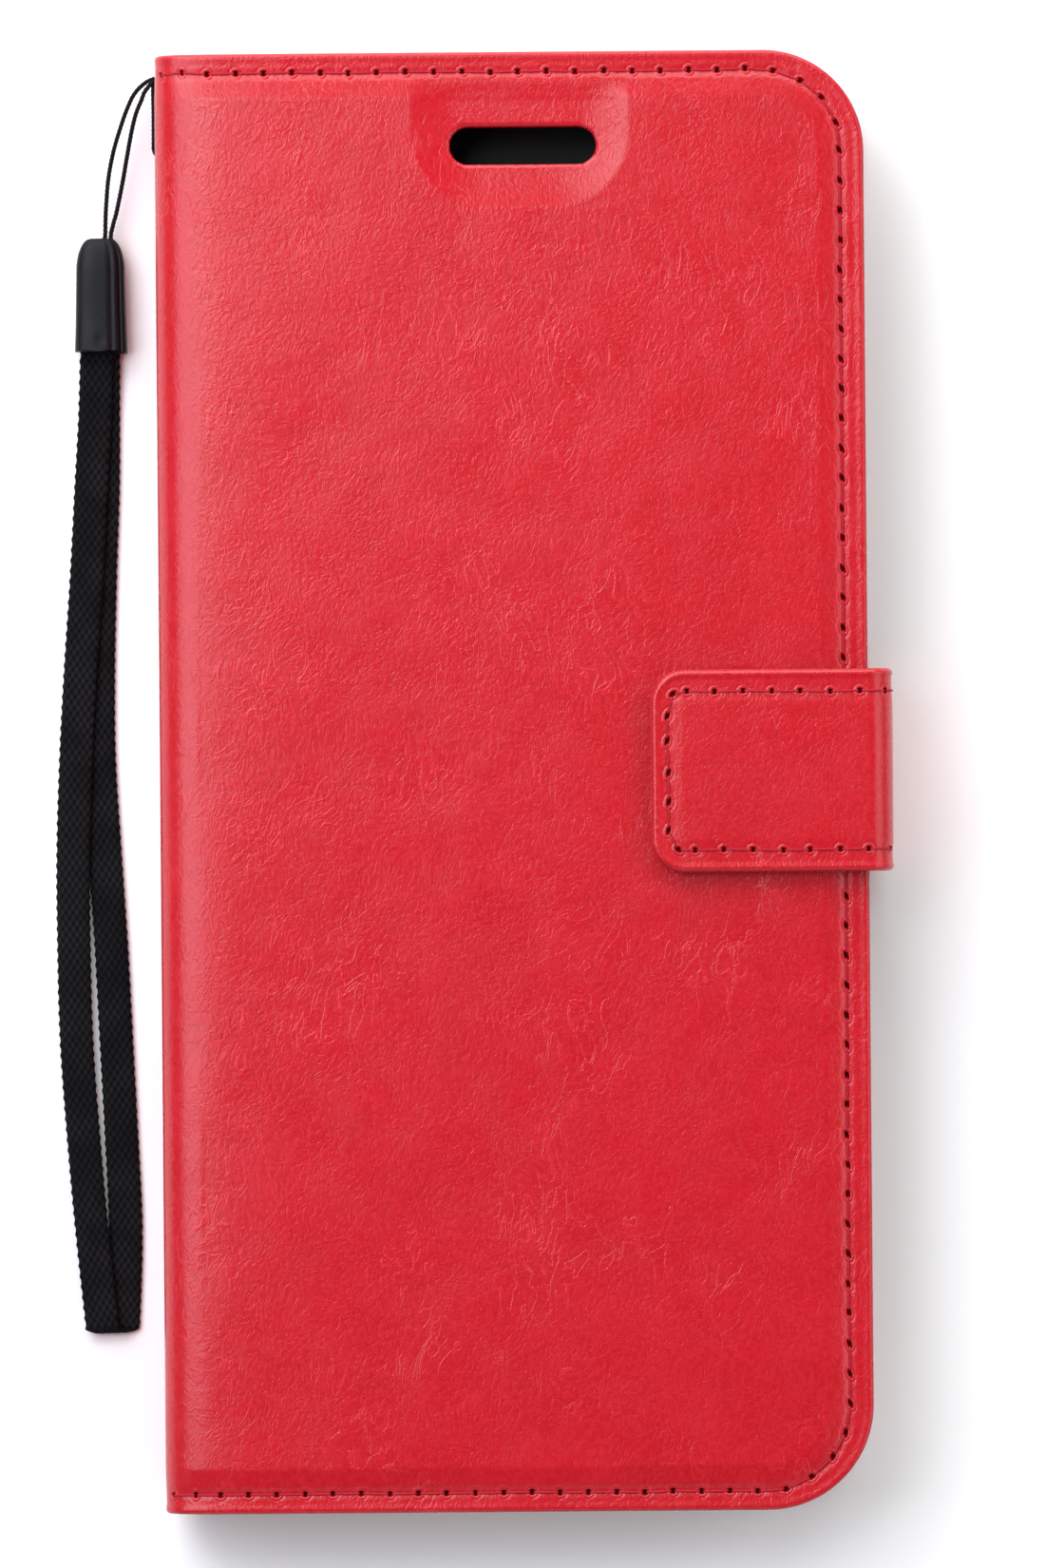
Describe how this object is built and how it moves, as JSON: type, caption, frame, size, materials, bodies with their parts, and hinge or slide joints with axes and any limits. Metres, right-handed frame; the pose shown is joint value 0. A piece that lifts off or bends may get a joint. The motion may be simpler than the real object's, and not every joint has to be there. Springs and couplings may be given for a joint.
{
  "type": "phone wallet case",
  "caption": "Folding leather case for a phone, with a magnetic clasp tab, card pockets inside, an ear slot in the cover and a wrist strap at the spine.",
  "frame": {"origin": "centre of the closed case's footprint, clasp included and wrist strap left out, on the surface it lies on", "axes": "+X from the spine to the clasp, +Y towards the top of the phone, +Z through the thickness, out of the front cover"},
  "size_m": [0.0952, 0.165, 0.0199],
  "materials": {
    "leather_red": "soft-gloss coated leather with a fine crazed grain",
    "lining_red": "smooth matt coated leather",
    "board_grey": "stiffening board",
    "thread_red": "waxed polyester thread",
    "tray_black": "satin flexible plastic",
    "steel": "plain sheet steel",
    "magnet": "nickel-plated magnet",
    "cord_black": "braided cord",
    "cap_black": "moulded plastic, satin",
    "webbing_black": "flat woven tape"
  },
  "bodies": {
    "back": {"back_outer_skin": "leather_red", "back_board": "board_grey", "back_lining": "lining_red", "back_stitching": "thread_red", "phone_tray": "tray_black", "clasp_anchor": "leather_red"},
    "spine": {"spine_outer_skin": "leather_red", "spine_board": "board_grey", "spine_lining": "lining_red", "cord_hitch": "cord_black"},
    "front_cover": {"front_outer_skin": "leather_red", "front_board": "board_grey", "front_lining": "lining_red", "front_stitching": "thread_red", "keeper_plate": "steel", "cash_pocket": "lining_red", "card_slot_upper": "lining_red", "card_slot_middle": "lining_red", "card_slot_lower": "lining_red", "pocket_stitching": "thread_red"},
    "clasp_strap": {"strap_outer_skin": "leather_red", "strap_lining": "lining_red"},
    "clasp_tab": {"tab_outer_skin": "leather_red", "tab_board": "board_grey", "tab_lining": "lining_red", "tab_magnet": "magnet", "tab_stitching": "thread_red"},
    "wrist_strap": {"lanyard_cord": "cord_black", "lanyard_cap": "cap_black", "lanyard_webbing": "webbing_black"}
  },
  "joints": [
    {"name": "spine_crease", "type": "hinge", "parent": "back", "child": "spine", "pos_m": [-0.0415, 0, 0], "axis": [0, -1, 0], "range_deg": [0, 90]},
    {"name": "cover_crease", "type": "hinge", "parent": "spine", "child": "front_cover", "pos_m": [-0.0415, 0, 0.0176], "axis": [0, -1, 0], "range_deg": [0, 90]},
    {"name": "clasp_root", "type": "hinge", "parent": "back", "child": "clasp_strap", "pos_m": [0.0415, 0.0013, 0.0006], "axis": [0, 1, 0], "range_deg": [0, 90]},
    {"name": "clasp_bend", "type": "hinge", "parent": "clasp_strap", "child": "clasp_tab", "pos_m": [0.0415, 0.0013, 0.0199], "axis": [0, 1, 0], "range_deg": [0, 90]},
    {"name": "wrist_strap_swing", "type": "hinge", "parent": "back", "child": "wrist_strap", "pos_m": [-0.0435, 0.0797, 0.0043], "axis": [0, 0, -1], "range_deg": [0, 180], "deforming": ["lanyard_cord"]}
  ],
  "couplings": [
    {"joint": "wrist_strap_swing", "follows": "spine_crease", "ratio": 2}
  ]
}
